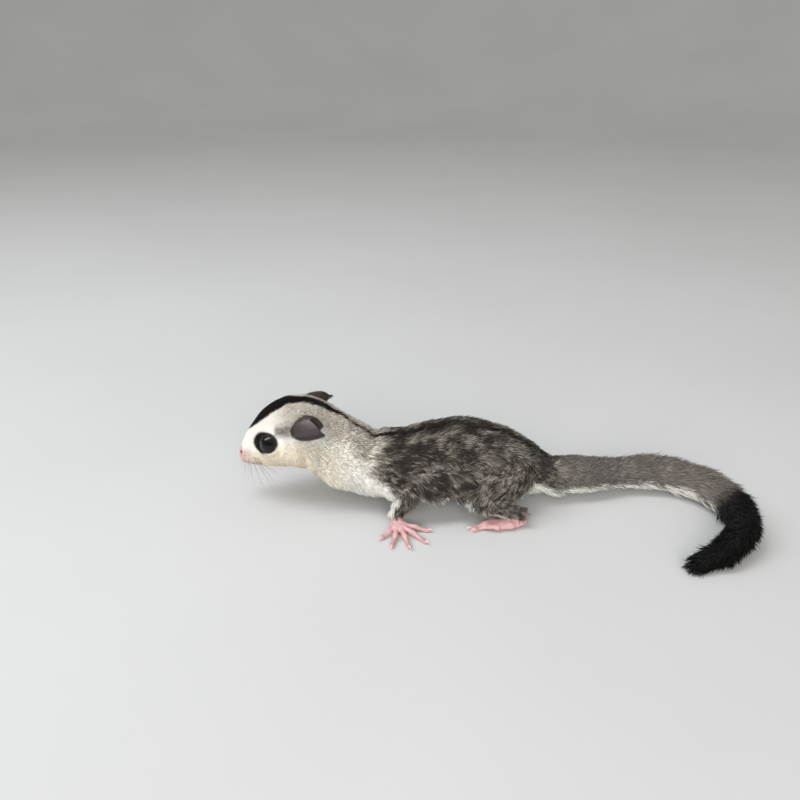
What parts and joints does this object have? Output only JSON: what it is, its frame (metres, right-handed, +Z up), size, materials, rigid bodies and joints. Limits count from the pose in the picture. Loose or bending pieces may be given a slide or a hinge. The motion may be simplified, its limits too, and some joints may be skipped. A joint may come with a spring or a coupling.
{
  "type": "sugar glider",
  "caption": "Still, life-size model of a young sugar glider crouching on all four feet, with folded gliding membranes and a bushy tail laid round on the ground.",
  "frame": {"origin": "on the ground under the middle of the whole animal's bounding box", "axes": "+Z up; the nose points along -X and the tail runs back along +X; the left side faces -Y"},
  "size_m": [0.185, 0.0904, 0.0412],
  "materials": {
    "fur": "soft, dense fur: grey back with a dark stripe, cream cheeks and belly, black tail end",
    "bare_skin": "bare pink skin, fine creases, slightly moist on the nose",
    "ear_skin": "thin, nearly hairless grey-brown skin with a dark rim",
    "eye": "glossy, very dark brown"
  },
  "bodies": {
    "root": {"head": "fur", "neck": "fur", "chest": "fur", "belly": "fur", "rump": "fur", "nose": "bare_skin", "eye_left": "eye", "ear_left": "ear_skin", "upper_arm_left": "fur", "forearm_left": "fur", "hand_left": "bare_skin", "thigh_left": "fur", "shank_left": "fur", "foot_left": "bare_skin", "membrane_left": "fur", "eye_right": "eye", "ear_right": "ear_skin", "upper_arm_right": "fur", "forearm_right": "fur", "hand_right": "bare_skin", "thigh_right": "fur", "shank_right": "fur", "foot_right": "bare_skin", "membrane_right": "fur", "tail_1": "fur", "tail_2": "fur", "tail_3": "fur", "tail_4": "fur"}
  },
  "joints": []
}
